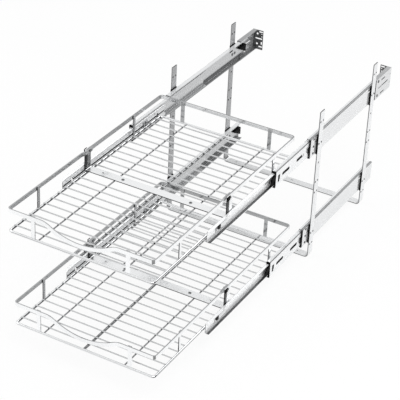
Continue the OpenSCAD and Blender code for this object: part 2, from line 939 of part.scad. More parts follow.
// Plastic clips in front of the risers, over the step in the rail
module lap_clips(tier) {
    color("#202020")
        at_basket(tier)
            for (side = sides)
                on_basket_side(side)
                    translate([0, rear_rail_start - lap_clip_l, rail_top - rail_h - lap_clip_over])
                        cube([riser_t + rail_t, lap_clip_l, rail_h + lap_clip_over]);
}

// Puts a piece on one side of the basket, with X running inwards from the riser's outer face
module on_basket_side(side) {
    translate([side * (basket_w / 2 + riser_t), 0, 0]) {
        if (side > 0)
            mirror([1, 0, 0]) children();
        else
            children();
    }
}

// Bolts through riser and both rail bands
module rail_bolts(tier) {
    stack = riser_t + 2 * rail_t + lap_gap;
    color("silver")
        at_basket(tier)
            for (side = sides)
                on_basket_side(side)
                    translate([0, riser_y, rail_z]) {
                        bar_x(screw_r, 0, stack);
                        bar_x(rail_bolt_head_r, stack, rail_bolt_head_h);
                        bar_x(nut_r, -nut_h, nut_h);
                    }
}

// Bolts through the floor strap
module strap_bolts(tier) {
    color("silver")
        at_basket(tier)
            for (side = sides)
                translate([side * strap_bolt_x, riser_y, strap_z]) {
                    cylinder(r = screw_r, h = riser_t);
                    translate([0, 0, riser_t]) cylinder(r = screw_head_r, h = screw_head_h);
                    translate([0, 0, -nut_h]) cylinder(r = nut_r, h = nut_h);
                }
}

// Screw from inside the basket into the web of an inner member
module slide_screw() {
    bar_x(screw_r, -slide_sheet - screw_tip, slide_sheet + screw_tip + riser_t);
    bar_x(screw_head_r, riser_t, screw_head_h);
}

// Screws that hold risers and rear ties to the inner members
module slide_screws(tier) {
    color("silver")
        at_basket(tier)
            for (side = sides)
                on_basket_side(side) {
                    for (pair = sides)
                        translate([0, riser_y + pair * slide_screw_pitch / 2, slide_screw_z])
                            slide_screw();
                    translate([0, tie_y, tie_screw_z]) slide_screw();
                }
}

// Small plates that tie the rear of the bottom frame to the inner members
module rear_ties(tier) {
    color("gainsboro")
        at_basket(tier)
            for (side = sides)
                on_basket_side(side)
                    difference() {
                        translate([0, tie_y - tie_l / 2, -tie_below])
                            cube([riser_t - weld_gap, tie_l, tie_below + tie_above]);
                        translate([0, tie_y, tie_screw_z])
                            bar_x(screw_hole_r, -overrun, riser_t + 2 * overrun);
                    }
}

floor_frame(-1);  // front_frame
floor_frame(1);  // rear_frame
leg_spacers();
leg_screws();
cabinet_member(upper, left);  // upper_left_cabinet_member
cabinet_member(upper, right);  // upper_right_cabinet_member
cabinet_member(lower, left);  // lower_left_cabinet_member
cabinet_member(lower, right);  // lower_right_cabinet_member
cabinet_member_clips();
rear_stops();
rear_bracket(left);  // left_rear_bracket
rear_bracket(right);  // right_rear_bracket
bracket_rivets();
middle_member(upper, left);  // upper_left_middle_member
middle_member(upper, right);  // upper_right_middle_member
middle_member_clips(upper);  // upper_middle_member_clips
outer_ball_cages(upper);  // upper_outer_ball_cages
outer_balls(upper);  // upper_outer_balls
inner_ball_cages(upper);  // upper_inner_ball_cages
inner_balls(upper);  // upper_inner_balls
inner_member(upper, left);  // upper_left_inner_member
inner_member(upper, right);  // upper_right_inner_member
release_levers(upper);  // upper_release_levers
front_rail(upper);  // upper_front_rail
rear_rail(upper);  // upper_rear_rail
rail_posts(upper);  // upper_rail_posts
bottom_frame(upper);  // upper_bottom_frame
lengthwise_wires(upper);  // upper_lengthwise_wires
cross_wires(upper);  // upper_cross_wires
floor_strap(upper);  // upper_floor_strap
lap_clips(upper);  // upper_lap_clips
rail_bolts(upper);  // upper_rail_bolts
strap_bolts(upper);  // upper_strap_bolts
slide_screws(upper);  // upper_slide_screws
rear_ties(upper);  // upper_rear_ties
middle_member(lower, left);  // lower_left_middle_member
middle_member(lower, right);  // lower_right_middle_member
middle_member_clips(lower);  // lower_middle_member_clips
outer_ball_cages(lower);  // lower_outer_ball_cages
outer_balls(lower);  // lower_outer_balls
inner_ball_cages(lower);  // lower_inner_ball_cages
inner_balls(lower);  // lower_inner_balls
inner_member(lower, left);  // lower_left_inner_member
inner_member(lower, right);  // lower_right_inner_member
release_levers(lower);  // lower_release_levers
front_rail(lower);  // lower_front_rail
rear_rail(lower);  // lower_rear_rail
rail_posts(lower);  // lower_rail_posts
bottom_frame(lower);  // lower_bottom_frame
lengthwise_wires(lower);  // lower_lengthwise_wires
cross_wires(lower);  // lower_cross_wires
floor_strap(lower);  // lower_floor_strap
lap_clips(lower);  // lower_lap_clips
rail_bolts(lower);  // lower_rail_bolts
strap_bolts(lower);  // lower_strap_bolts
slide_screws(lower);  // lower_slide_screws
rear_ties(lower);  // lower_rear_ties
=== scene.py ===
import json
import math

import bmesh
import bpy
from mathutils import Matrix, Vector


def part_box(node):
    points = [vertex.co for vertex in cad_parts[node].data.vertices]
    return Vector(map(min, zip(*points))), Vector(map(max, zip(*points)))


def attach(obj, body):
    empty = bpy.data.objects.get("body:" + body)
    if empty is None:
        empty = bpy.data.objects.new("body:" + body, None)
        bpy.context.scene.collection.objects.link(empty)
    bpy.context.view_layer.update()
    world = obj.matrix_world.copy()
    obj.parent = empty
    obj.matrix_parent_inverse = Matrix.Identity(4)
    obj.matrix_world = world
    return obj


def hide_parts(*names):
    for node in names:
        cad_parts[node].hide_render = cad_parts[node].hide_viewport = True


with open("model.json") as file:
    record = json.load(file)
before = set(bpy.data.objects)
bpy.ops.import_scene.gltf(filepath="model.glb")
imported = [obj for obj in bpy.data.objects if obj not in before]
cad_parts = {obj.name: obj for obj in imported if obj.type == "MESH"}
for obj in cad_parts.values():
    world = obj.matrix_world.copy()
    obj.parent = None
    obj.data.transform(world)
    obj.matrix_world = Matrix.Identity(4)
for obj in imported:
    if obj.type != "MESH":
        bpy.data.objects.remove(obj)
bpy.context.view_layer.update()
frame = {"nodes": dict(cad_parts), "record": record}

MM = 0.001
TIERS = ("lower", "upper")
# Both sides, with the sign of x there
SIDES = {"left": -1, "right": 1}

# Camera, at the photograph's viewing angle
CAMERA_PLACE = Vector((1.3132, -2.7247, 1.8538))
CAMERA_RIGHT = Vector((0.86477, 0.50036, 0.04266))
CAMERA_UP = Vector((-0.29314, 0.43400, 0.85189))
CAMERA_LENS = 140.13
CAMERA_REACH = 60.0
SENSOR_WIDTH = 36.0

# Soft lights: name, place, target, width and height, power
LIGHTS = (
    ("key_softbox", (1.6, -1.6, 2.6), (0, -0.2, 0.2), (2.0, 2.0), 45.0),
    ("fill_softbox", (-2.4, -1.0, 1.8), (0, -0.2, 0.2), (2.0, 2.0), 18.0),
    ("rear_softbox", (0.4, 2.4, 2.2), (0, -0.1, 0.2), (2.5, 1.5), 18.0),
)

# Stage: a white floor, and dark parts of the studio that only reflections show. The pairs say where the
# dark starts and where it is full: on the floor in metres, in the world along the direction's x and z.
FLOOR_SIZE = 30.0
FLOOR_DROP = 0.5 * MM
FLOOR_GREY = 0.95
FLOOR_GLOW_SHARE = 0.85
WHITE = 1.0
AMBIENT = 0.84
SKY = 0.98
DARK_STUDIO = 0.2
FLOOR_DARK_RIGHT = (0.17, 0.22)
FLOOR_DARK_FRONT = (0.70, 0.75)
FLOOR_DARK_REACH = (1.4, 2.6)
WORLD_DARK_X = (0.44, 0.52)
WORLD_DARK_Z = (0.16, 0.06)

# Places that follow from the CAD
CABINET_BOX = {tier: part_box(f"{tier}_right_cabinet_member") for tier in TIERS}
SLIDE_Z = {tier: (box[0][2] + box[1][2]) / 2 for tier, box in CABINET_BOX.items()}
TIER_SPLIT_Z = (SLIDE_Z["lower"] + SLIDE_Z["upper"]) / 2
FRAME_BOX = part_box("front_frame")
LEG_Y = -(FRAME_BOX[0][1] + FRAME_BOX[1][1]) / 2
LEG_HALF_WIDTH = (FRAME_BOX[1][1] - FRAME_BOX[0][1]) / 2
RAIL_BOX = {tier: (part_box(f"{tier}_front_rail"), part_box(f"{tier}_rear_rail")) for tier in TIERS}
BASKET_MIDDLE_Y = (RAIL_BOX["upper"][0][0][1] + RAIL_BOX["upper"][1][1][1]) / 2
RISER_FRONT = {tier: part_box(f"{tier}_floor_strap")[0][1] for tier in TIERS}
LEVER_FRONT = {tier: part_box(f"{tier}_release_levers")[0][1] for tier in TIERS}

# Bounds of the patches on the metal: painted shade and painted reflections, apart from the levers' black
# tips. The pairs say where a patch starts and where it is full.
FOLD_X = CABINET_BOX["upper"][1][0] - 5 * MM
TRACK_EDGE = (-9 * MM, -13 * MM)
WIRE_SHADE_LOW = (-1 * MM, -0.5 * MM)
WIRE_SHADE_HIGH = (3 * MM, 2.5 * MM)
LEG_BEND_TOP = 20 * MM
HOLE_MARGIN = 0.3 * MM
RISER_EDGE = (10 * MM, 7 * MM)
SIDE_EDGE_X = 150 * MM
LOW_EDGE_TOP = 15 * MM
LEVER_TIP_L = 10 * MM
TURNED_IN = (0.45, 0.75)
TURNED_STRAIGHT = (0.6, 0.9)
TURNED_UP_A_LITTLE = (0.3, 0.5)
ACROSS_LIMIT = 0.3
FACING_LIMIT = 0.6

# Grain of the metal and of the plastic
METAL_TINT = 0.004
CLOUD_SCALE = 14.0
STREAK_SCALE = 220.0
STREAK_DEPTH = 0.01 * MM
NOISE_MIDDLE = (0.3, 0.7)
PLASTIC_TONES = (0.02, 0.07)
PLASTIC_ROUGH = (0.6, 0.75)
PLASTIC_SPECULAR = 0.08
PLASTIC_CLOUD_SCALE = 40.0
PLASTIC_GRAIN_SCALE = 900.0
PLASTIC_GRAIN_BUMP = 0.2
PLASTIC_GRAIN_DEPTH = 0.05 * MM

# Lap clips, as they wrap the front of the risers
LAP_INSET = 0.3 * MM
LAP_L = 9 * MM
LAP_PROUD = 1.4 * MM
LAP_ABOVE = 0.8 * MM
LAP_BEVEL = 0.4 * MM

# Hooks of the middle clips, and dark tongues in front of them, from the member's front and the slide's middle
HOOK_Y = (9.5 * MM, 14.5 * MM)
HOOK_Z = (-10 * MM, 5.5 * MM)
HOOK_PROUD = 0.4 * MM
TONGUE_Y = (-18 * MM, 0.0)
TONGUE_Z = (-10 * MM, 6 * MM)
TONGUE_IN = (1.5 * MM, 2.6 * MM)
CLIP_BEVEL = 0.15 * MM
BEVEL_SEGMENTS = 2
BEVEL_ROUNDNESS = 0.5

# Weld beads
WIRE_GAP = 5 * MM
WELD_R = 2.0 * MM
WELD_HALF_H = 1.3 * MM
WELD_UNEVEN = 0.12
WELD_ROW_PHASE = 2.4
WELD_COLUMN_PHASE = 1.7

# Fasteners: a head is wider than its shank by the ratio, and its dome goes by shares of its height and radius
SCREW_SIDES = 20
NUT_SIDES = 6
HEAD_RATIO = 1.15
DOME_SHARES = ((0.45, 1.0), (0.8, 0.86), (1.0, 0.5), (1.0, 0.0))
NUT_H = 2 * MM
NUT_MARGIN = 0.05 * MM
NUT_EDGE_SHARE = 0.85
SHANK_SHORTER = 0.05 * MM
CENTRE_R = 0.5 * MM
RECESS_WIDTH_SHARE = 0.22
RECESS_H = 0.1 * MM
SAME_POINT = 0.001 * MM
LEVEL_DIGITS = 6
ORDER_DIGITS = 5

# Pins of the front clips: the shares give their heights on the slide
PIN_SHARES = (-0.66, 0.04, 0.79)
PIN_Y = 13 * MM
PIN_R = 1.2 * MM
PIN_DEPTH = 1.2 * MM
PIN_HEAD_R = 2.5 * MM
PIN_HEAD_H = 0.6 * MM
PIN_EDGE_SHARE = 0.6


class Graph:
    """The nodes of one material or of the world, with short ways to add to them."""

    def __init__(self, tree):
        self.nodes = tree.nodes
        self.links = tree.links

    def feed(self, socket, value):
        """Links a socket to another node's output, or sets it to a number or colour."""
        if isinstance(value, bpy.types.NodeSocket):
            self.links.new(value, socket)
        else:
            socket.default_value = value

    def math(self, operation, *values):
        """A math node on one or two values."""
        node = self.nodes.new("ShaderNodeMath")
        node.operation = operation
        for socket, value in zip(node.inputs, values):
            self.feed(socket, value)
        return node.outputs[0]

    def all_of(self, *masks):
        """1 where all masks are 1."""
        result = masks[0]
        for mask in masks[1:]:
            result = self.math("MULTIPLY", result, mask)
        return result

    def mix(self, factor, low, high):
        """Mixes two colours by a factor."""
        node = self.nodes.new("ShaderNodeMix")
        node.data_type = "RGBA"
        for name, value in (("Factor", factor), ("A", low), ("B", high)):
            self.feed(node.inputs[name], value)
        return node.outputs["Result"]

    def noise(self, scale, detail, stretch=(1.0, 1.0, 1.0)):
        """Noise in object space, stretched along the axes as given."""
        coords = self.nodes.new("ShaderNodeTexCoord")
        mapping = self.nodes.new("ShaderNodeMapping")
        mapping.inputs["Scale"].default_value = stretch
        self.links.new(coords.outputs["Object"], mapping.inputs["Vector"])
        texture = self.nodes.new("ShaderNodeTexNoise")
        texture.inputs["Scale"].default_value = scale
        texture.inputs["Detail"].default_value = detail
        self.links.new(mapping.outputs["Vector"], texture.inputs["Vector"])
        return texture.outputs["Fac"]

    def spread(self, value, low, high):
        """Spreads the middle of a noise over a range."""
        node = self.nodes.new("ShaderNodeMapRange")
        for name, number in (("Value", value), ("From Min", NOISE_MIDDLE[0]), ("From Max", NOISE_MIDDLE[1]),
                             ("To Min", low), ("To Max", high)):
            self.feed(node.inputs[name], number)
        return node.outputs["Result"]

    def rise(self, value, start, end):
        """Rises smoothly from 0 at start to 1 at end."""
        node = self.nodes.new("ShaderNodeMapRange")
        node.interpolation_type = "SMOOTHSTEP"
        for name, number in (("Value", value), ("From Min", start), ("From Max", end)):
            self.feed(node.inputs[name], number)
        return node.outputs["Result"]

    def bump(self, shader, height, strength, distance):
        """Roughens a shader's surface by a height."""
        node = self.nodes.new("ShaderNodeBump")
        for name, value in (("Strength", strength), ("Distance", distance), ("Height", height)):
            self.feed(node.inputs[name], value)
        self.links.new(node.outputs["Normal"], shader.inputs["Normal"])

    def split(self, vector):
        """The x, y and z of a vector."""
        node = self.nodes.new("ShaderNodeSeparateXYZ")
        self.links.new(vector, node.inputs[0])
        return node.outputs

    def surface(self):
        """The place and the normal of the surface in object space."""
        coords = self.nodes.new("ShaderNodeTexCoord")
        return self.split(coords.outputs["Object"]), self.split(coords.outputs["Normal"])


def linear(tone):
    """Turns a tone as seen on a screen into light, by the sRGB curve."""
    return ((tone + 0.055) / 1.055) ** 2.4 if tone > 0.04045 else tone / 12.92


def grey(tone, tint=0.0):
    """A neutral or slightly blue grey of one screen tone."""
    return (linear(tone - tint), linear(tone), linear(tone + tint), 1.0)


def by_tier(graph, place, values):
    """The one of two values that belongs to a place's tier."""
    is_upper = graph.math("GREATER_THAN", place["Z"], TIER_SPLIT_Z)
    step = graph.math("MULTIPLY", is_upper, values["upper"] - values["lower"])
    return graph.math("ADD", step, values["lower"])


def height_on_slide(graph, place):
    """Height above the middle of the slide that a place belongs to."""
    return graph.math("SUBTRACT", place["Z"], by_tier(graph, place, SLIDE_Z))


def turned_to_middle(graph, offset, along):
    """1 on faces that look back along an axis, to the middle that the offset is measured from."""
    away = graph.math("MULTIPLY", graph.math("SIGN", offset), along)
    return graph.rise(graph.math("MULTIPLY", away, -1.0), *TURNED_IN)


def inward(graph, place, normal):
    """1 on faces that look towards the middle plane of the object, where the materials paint shading."""
    return turned_to_middle(graph, place["X"], normal["X"])


def basket_inward(graph, place, normal):
    """1 on faces at the basket's ends that look along it, towards its middle, where the materials paint
    shade.
    """
    return turned_to_middle(graph, graph.math("SUBTRACT", place["Y"], BASKET_MIDDLE_Y), normal["Y"])


def upward(graph, place, normal):
    """1 on faces that look up, where the materials paint shade."""
    return graph.rise(normal["Z"], *TURNED_STRAIGHT)


def edge_on(graph, place, normal):
    """1 on faces that look to the front or the rear, where the materials paint shade."""
    return graph.rise(graph.math("ABSOLUTE", normal["Y"]), *TURNED_STRAIGHT)


def hole_wall(graph, place, normal):
    """1 on the walls of the holes in the legs, which the strap paints almost black: painted shade."""
    offset = graph.math("ABSOLUTE", graph.math("SUBTRACT", graph.math("ABSOLUTE", place["Y"]), LEG_Y))
    within = graph.math("LESS_THAN", offset, LEG_HALF_WIDTH - HOLE_MARGIN)
    across = graph.math("LESS_THAN", graph.math("ABSOLUTE", normal["X"]), ACROSS_LIMIT)
    above = graph.math("GREATER_THAN", place["Z"], LEG_BEND_TOP)
    return graph.all_of(within, across, above)


def fold_reflection(graph, place, normal):
    """1 along the outer half of the top flange of the right slides, where a dark painted reflection goes."""
    outer = graph.math("GREATER_THAN", place["X"], FOLD_X)
    return graph.all_of(outer, graph.rise(normal["Z"], *TURNED_UP_A_LITTLE))


def track_shade(graph, place, normal):
    """1 on the lower track of the balls, and on the web just above it, where painted shade goes."""
    height = height_on_slide(graph, place)
    web = graph.all_of(inward(graph, place, normal), graph.rise(height, *TRACK_EDGE))
    floor = graph.all_of(upward(graph, place, normal), graph.math("LESS_THAN", height, 0.0))
    return graph.math("MAXIMUM", web, floor)


def wire_shade(graph, place, normal):
    """1 on the narrow band of an inner member's web that the bottom wire shades."""
    height = height_on_slide(graph, place)
    band = graph.all_of(graph.rise(height, *WIRE_SHADE_LOW), graph.rise(height, *WIRE_SHADE_HIGH))
    return graph.all_of(band, inward(graph, place, normal))


def riser_front(graph, place, normal):
    """1 on the front band of the outer and inner faces of a floor strap's risers, which the strap darkens as
    painted shade.
    """
    depth = graph.math("SUBTRACT", place["Y"], by_tier(graph, place, RISER_FRONT))
    sideways = graph.math("GREATER_THAN", graph.math("ABSOLUTE", normal["X"]), FACING_LIMIT)
    return graph.all_of(sideways, graph.rise(depth, *RISER_EDGE))


def side_edge(graph, place, normal):
    """1 on the front edges of the bands that stand at the basket's sides, where painted shade goes."""
    outside = graph.math("GREATER_THAN", graph.math("ABSOLUTE", place["X"]), SIDE_EDGE_X)
    return graph.all_of(outside, graph.math("LESS_THAN", normal["Y"], -FACING_LIMIT))


def low_side_edge(graph, place, normal):
    """The part of the same edges that stands beside the slides, where the painted shade is darker."""
    low = graph.math("LESS_THAN", height_on_slide(graph, place), LOW_EDGE_TOP)
    return graph.all_of(side_edge(graph, place, normal), low)


def lever_tail(graph, place, normal):
    """1 on a release lever behind its black tip."""
    depth = graph.math("SUBTRACT", place["Y"], by_tier(graph, place, LEVER_FRONT))
    return graph.math("GREATER_THAN", depth, LEVER_TIP_L)


def new_material(name):
    """A node material with a principled shader; returns the material, its graph and the shader."""
    mat = bpy.data.materials.new(name)
    mat.use_nodes = True
    return mat, Graph(mat.node_tree), mat.node_tree.nodes["Principled BSDF"]


def plated_metal(name, tone, patches=(), rough=(0.2, 0.3), metallic=0.9, stretch=(1.0, 1.0, 1.0),
                 grain=0.05, bump=0.05, specular=0.5):
    """Plated steel with cloudy tone and fine streaks. Patches give other tones to some of its faces: painted
    shade and painted reflections, apart from the levers' black tips.
    """
    mat, graph, shader = new_material(name)
    place, normal = graph.surface()
    colour = grey(tone, METAL_TINT)
    # Each patch paints its tone where its mask is 1; apart from the levers' black tips these tones are
    # painted light and shade.
    for mask, patch_tone in patches:
        colour = graph.mix(mask(graph, place, normal), colour, grey(patch_tone, METAL_TINT))
    duller = graph.nodes.new("ShaderNodeHueSaturation")
    duller.inputs["Value"].default_value = 1.0 - grain
    graph.feed(duller.inputs["Color"], colour)
    clouds = graph.spread(graph.noise(CLOUD_SCALE, 3.0), 0.0, 1.0)
    graph.feed(shader.inputs["Base Color"], graph.mix(clouds, colour, duller.outputs["Color"]))
    streaks = graph.noise(STREAK_SCALE, 2.0, stretch)
    graph.feed(shader.inputs["Roughness"], graph.spread(streaks, *rough))
    shader.inputs["Metallic"].default_value = metallic
    shader.inputs["Specular IOR Level"].default_value = specular
    graph.bump(shader, streaks, bump, STREAK_DEPTH)
    return mat


def black_plastic():
    """Moulded black plastic with a fine grain."""
    mat, graph, shader = new_material("black_plastic")
    grain = graph.noise(PLASTIC_GRAIN_SCALE, 2.0)
    clouds = graph.noise(PLASTIC_CLOUD_SCALE, 2.0)
    dark, pale = (grey(tone) for tone in PLASTIC_TONES)
    graph.feed(shader.inputs["Base Color"], graph.mix(clouds, dark, pale))
    graph.feed(shader.inputs["Roughness"], graph.spread(grain, *PLASTIC_ROUGH))
    shader.inputs["Specular IOR Level"].default_value = PLASTIC_SPECULAR
    graph.bump(shader, grain, PLASTIC_GRAIN_BUMP, PLASTIC_GRAIN_DEPTH)
    return mat


ALONG_Y = (1.0, 0.04, 1.0)
ALONG_Z = (1.0, 1.0, 0.05)
# Apart from the levers' black tips, every patch in these materials is painted light and shade: tones by the
# way a face looks, painted shade in holes, tracks and at front edges, and a painted dark reflection along the
# right slides' flanges.
MATERIALS = {
    "zinc_strap": plated_metal(
        "zinc_strap", 0.96, [(edge_on, 0.5), (inward, 0.66), (upward, 0.84), (hole_wall, 0.03)],
        rough=(0.26, 0.38), metallic=0.7, stretch=ALONG_Z, grain=0.08),
    "slide_steel": plated_metal(
        "slide_steel", 0.92, [(edge_on, 0.6), (inward, 0.78), (upward, 0.9), (fold_reflection, 0.52),
                              (track_shade, 0.5)],
        rough=(0.14, 0.2), metallic=0.6, stretch=ALONG_Y, bump=0.02),
    "bracket_steel": plated_metal(
        "bracket_steel", 0.88, [(edge_on, 0.36), (inward, 0.72), (upward, 0.62)],
        rough=(0.2, 0.3), metallic=0.6, stretch=ALONG_Y, bump=0.02),
    "chrome_wire": plated_metal("chrome_wire", 0.84, rough=(0.06, 0.12), metallic=1.0),
    "chrome_flat": plated_metal(
        "chrome_flat", 0.985, [(upward, 0.7), (inward, 0.62), (basket_inward, 0.68)],
        rough=(0.08, 0.16), metallic=0.9, grain=0.08),
    "cage_steel": plated_metal("cage_steel", 0.5, rough=(0.3, 0.45), metallic=1.0, stretch=ALONG_Y),
    "ball_steel": plated_metal("ball_steel", 0.65, rough=(0.05, 0.1), metallic=1.0),
    "zinc_screw": plated_metal("zinc_screw", 0.5, rough=(0.25, 0.4), metallic=1.0),
    "black_plastic": black_plastic(),
}
# Nodes that look different from the rest of their slot, by the ending of their name. Their patches too are
# painted light and shade, apart from the levers' black tips.
NODE_MATERIALS = {
    "middle_member": plated_metal(
        "middle_steel", 0.96, [(edge_on, 0.5), (inward, 0.78), (upward, 0.9), (fold_reflection, 0.5),
                               (track_shade, 0.62)],
        rough=(0.14, 0.2), metallic=0.5, stretch=ALONG_Y, bump=0.02),
    "inner_member": plated_metal(
        "inner_steel", 0.99, [(edge_on, 0.5), (track_shade, 0.3), (inward, 0.86), (wire_shade, 0.03)],
        rough=(0.2, 0.26), metallic=0.4, stretch=ALONG_Y, bump=0.02),
    "floor_strap": plated_metal(
        "strap_plate", 0.95, [(edge_on, 0.35), (inward, 0.5), (riser_front, 0.12), (side_edge, 0.06)],
        rough=(0.12, 0.2), metallic=0.8),
    "rail_posts": plated_metal(
        "post_plate", 0.985, [(upward, 0.7), (inward, 0.62), (basket_inward, 0.68), (side_edge, 0.4),
                              (low_side_edge, 0.04)],
        rough=(0.08, 0.16), metallic=0.9, grain=0.08),
    "release_levers": plated_metal(
        "lever_plate", 0.04, [(lever_tail, 0.9)], rough=(0.4, 0.5), metallic=0.0, specular=0.1),
    # The lengthwise wires are a darker copy of the chrome: painted shade, as they lie under the cross wires.
    # The bottom frame is a paler copy, painted light, with painted shade on its faces that look inward.
    "lengthwise_wires": plated_metal("rib_wire", 0.55, rough=(0.08, 0.14), metallic=1.0),
    "bottom_frame": plated_metal("frame_wire", 0.93, [(inward, 0.42)], rough=(0.05, 0.1), metallic=1.0),
    "upper_rear_rail": plated_metal(
        "upper_rail_plate", 0.985, [(upward, 0.6), (inward, 0.62), (basket_inward, 0.9)],
        rough=(0.08, 0.16), metallic=0.8, grain=0.12),
    # An almost black cage, whose faces that look inward get a pale tone: painted light.
    "inner_ball_cages": plated_metal(
        "dark_cage", 0.03, [(inward, 0.9)], rough=(0.4, 0.5), metallic=0.0, stretch=ALONG_Y,
        specular=0.08),
}
WELD_METAL = plated_metal("weld_metal", 0.2, rough=(0.35, 0.5), metallic=1.0)
# Painted shade: the dark crosses that stand for the recesses in the screw heads.
PAINTED_RECESS_SHADE = plated_metal("recess_shade_paint", 0.12, rough=(0.4, 0.5), metallic=1.0)


def dress_cad_nodes():
    """Gives every carried-over CAD node its material."""
    for entry in frame["record"]["subparts"]:
        piece = frame["nodes"][entry["node"]]
        mat = MATERIALS[entry["material_slot"]]
        for ending, own in NODE_MATERIALS.items():
            if entry["node"].endswith(ending):
                mat = own
        if piece.data.materials:
            for index in range(len(piece.data.materials)):
                piece.data.materials[index] = mat
        else:
            piece.data.materials.append(mat)


def finish_mesh(name, bm, body, slot, mat=None, smooth=False):
    """Turns a bmesh into a piece that rides on a body."""
    mesh = bpy.data.meshes.new(name)
    bm.to_mesh(mesh)
    bm.free()
    if smooth:
        mesh.shade_smooth()
    else:
        mesh.shade_flat()
    mesh.materials.append(mat or MATERIALS[slot])
    piece = bpy.data.objects.new(name, mesh)
    bpy.context.scene.collection.objects.link(piece)
    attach(piece, body)
    return piece


def outer_x(box, sign):
    """The x of a box's face that looks away from the object's middle."""
    return box[0][0] if sign < 0 else box[1][0]


def points_middle(points):
    """The middle of the box round some points."""
    return [(min(p[i] for p in points) + max(p[i] for p in points)) / 2 for i in range(3)]


def wire_middles(node, axis):
    """The middles of a node's separate wires along one axis."""
    groups = []
    for value in sorted(vertex.co[axis] for vertex in frame["nodes"][node].data.vertices):
        if not groups or value - groups[-1][1] > WIRE_GAP:
            groups.append([value, value])
        groups[-1][1] = value
    return [(low + high) / 2 for low, high in groups]


def solids_of(node):
    """The separate solids of a node, each as a list of points."""
    bm = bmesh.new()
    bm.from_mesh(frame["nodes"][node].data)
    bmesh.ops.remove_doubles(bm, verts=bm.verts, dist=SAME_POINT)
    left = set(bm.verts)
    solids = []
    while left:
        stack = [left.pop()]
        points = []
        while stack:
            vertex = stack.pop()
            points.append(vertex.co.copy())
            for edge in vertex.link_edges:
                other = edge.other_vert(vertex)
                if other in left:
                    left.remove(other)
                    stack.append(other)
        solids.append(points)
    bm.free()
    return sorted(solids, key=lambda points: tuple(round(v, ORDER_DIGITS) for v in points_middle(points)))


def lathe(bm, place, turn, profile, sides):
    """Revolves a profile of distances along the axis and radii, closed at both ends."""
    rings = []
    for along, radius in profile:
        if radius == 0:
            rings.append([bm.verts.new(place + turn @ Vector((0, 0, along)))])
            continue
        ring = []
        for index in range(sides):
            angle = 2 * math.pi * index / sides
            spot = Vector((radius * math.cos(angle), radius * math.sin(angle), along))
            ring.append(bm.verts.new(place + turn @ spot))
        rings.append(ring)
    for low, high in zip(rings, rings[1:]):
        for index in range(sides):
            after = (index + 1) % sides
            if len(low) == 1:
                bm.faces.new((low[0], high[after], high[index]))
            elif len(high) == 1:
                bm.faces.new((low[index], low[after], high[0]))
            else:
                bm.faces.new((low[index], low[after], high[after], high[index]))


def bevelled_block(bm, low, high, bevel):
    """A block between two corners, with its edges taken off."""
    low, high = Vector(low), Vector(high)
    place = Matrix.Translation((low + high) / 2) @ Matrix.Diagonal(high - low).to_4x4()
    made = bmesh.ops.create_cube(bm, size=1.0, matrix=place)
    edges = {edge for vertex in made["verts"] for edge in vertex.link_edges}
    bmesh.ops.bevel(bm, geom=list(edges), offset=bevel, segments=BEVEL_SEGMENTS, profile=BEVEL_ROUNDNESS,
                    affect="EDGES")


def make_welds(tier):
    """Small weld beads where the cross wires lie on the lengthwise wires."""
    cross_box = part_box(f"{tier}_cross_wires")
    xs = wire_middles(f"{tier}_lengthwise_wires", 0)
    ys = wire_middles(f"{tier}_cross_wires", 1)
    bm = bmesh.new()
    for row, y in enumerate(ys):
        for column, x in enumerate(xs):
            swell = 1.0 + WELD_UNEVEN * math.sin(WELD_ROW_PHASE * row + WELD_COLUMN_PHASE * column)
            size = Vector((WELD_R * swell, WELD_R * swell, WELD_HALF_H))
            place = Vector((x, y, cross_box[0][2] + WELD_HALF_H / 2))
            bmesh.ops.create_icosphere(bm, subdivisions=1, radius=1.0,
                                       matrix=Matrix.Translation(place) @ Matrix.Diagonal(size).to_4x4())
    finish_mesh(f"{tier}_welds", bm, f"{tier}_basket", "chrome_wire", WELD_METAL, smooth=True)


def round_levels(points, axis):
    """The middle of a round solid along an axis, its radii at each level, and the radius of its shank."""
    middle = points_middle(points)
    levels = {}
    for point in points:
        across = [point[i] - middle[i] for i in range(3) if i != axis]
        along = round(point[axis] - middle[axis], LEVEL_DIGITS)
        levels.setdefault(along, []).append(math.hypot(*across))
    shank = min(radius for ring in levels.values() for radius in ring if radius > CENTRE_R)
    return Vector(middle), levels, shank


def heads_of(levels, shank):
    """The sign, radius, start and height of each head of a screw, bolt or rivet."""
    inner = sorted(levels)[1:-1]
    heads = []
    for sign, end in ((-1, min(levels)), (1, max(levels))):
        radius = max(levels[end])
        if radius > shank * HEAD_RATIO:
            steps = [along for along in inner if along * sign > 0]
            step = min(steps, key=lambda along: abs(along - end)) if steps else 0
            heads.append((sign, radius, abs(step), abs(end - step)))
    return heads


def nut_sign(node, middle):
    """The end of a bolt that has its nut: below the floor strap, or inside the rail."""
    if node.endswith("strap_bolts"):
        return -1
    if node.endswith("rail_bolts"):
        return -1 if middle[0] > 0 else 1
    return 0


def add_nut(bm, place, turn, radius, start, height):
    """A hex nut with its outer edge taken off."""
    edge = NUT_EDGE_SHARE
    profile = [(start, 0), (start, radius), (start + edge * height, radius),
               (start + height, edge * radius), (start + height, 0)]
    lathe(bm, place, turn, profile, NUT_SIDES)


def add_dome(bm, place, turn, radius, start, height):
    """A domed head with a flat top."""
    dome = [(start + height * rise, radius * width) for rise, width in DOME_SHARES]
    lathe(bm, place, turn, [(start, 0), (start, radius)] + dome, SCREW_SIDES)


def add_recess(bm, place, turn, radius, top):
    """A thin dark cross on top of a head: painted shade that stands for its recess."""
    spot = Matrix.Translation(place) @ turn.to_4x4() @ Matrix.Translation((0, 0, top))
    size = Matrix.Diagonal((radius, radius * RECESS_WIDTH_SHARE, RECESS_H, 1))
    for quarter in (0, 1):
        arm = Matrix.Rotation(math.pi / 4 + quarter * math.pi / 2, 4, "Z")
        bmesh.ops.create_cube(bm, size=1.0, matrix=spot @ arm @ size)


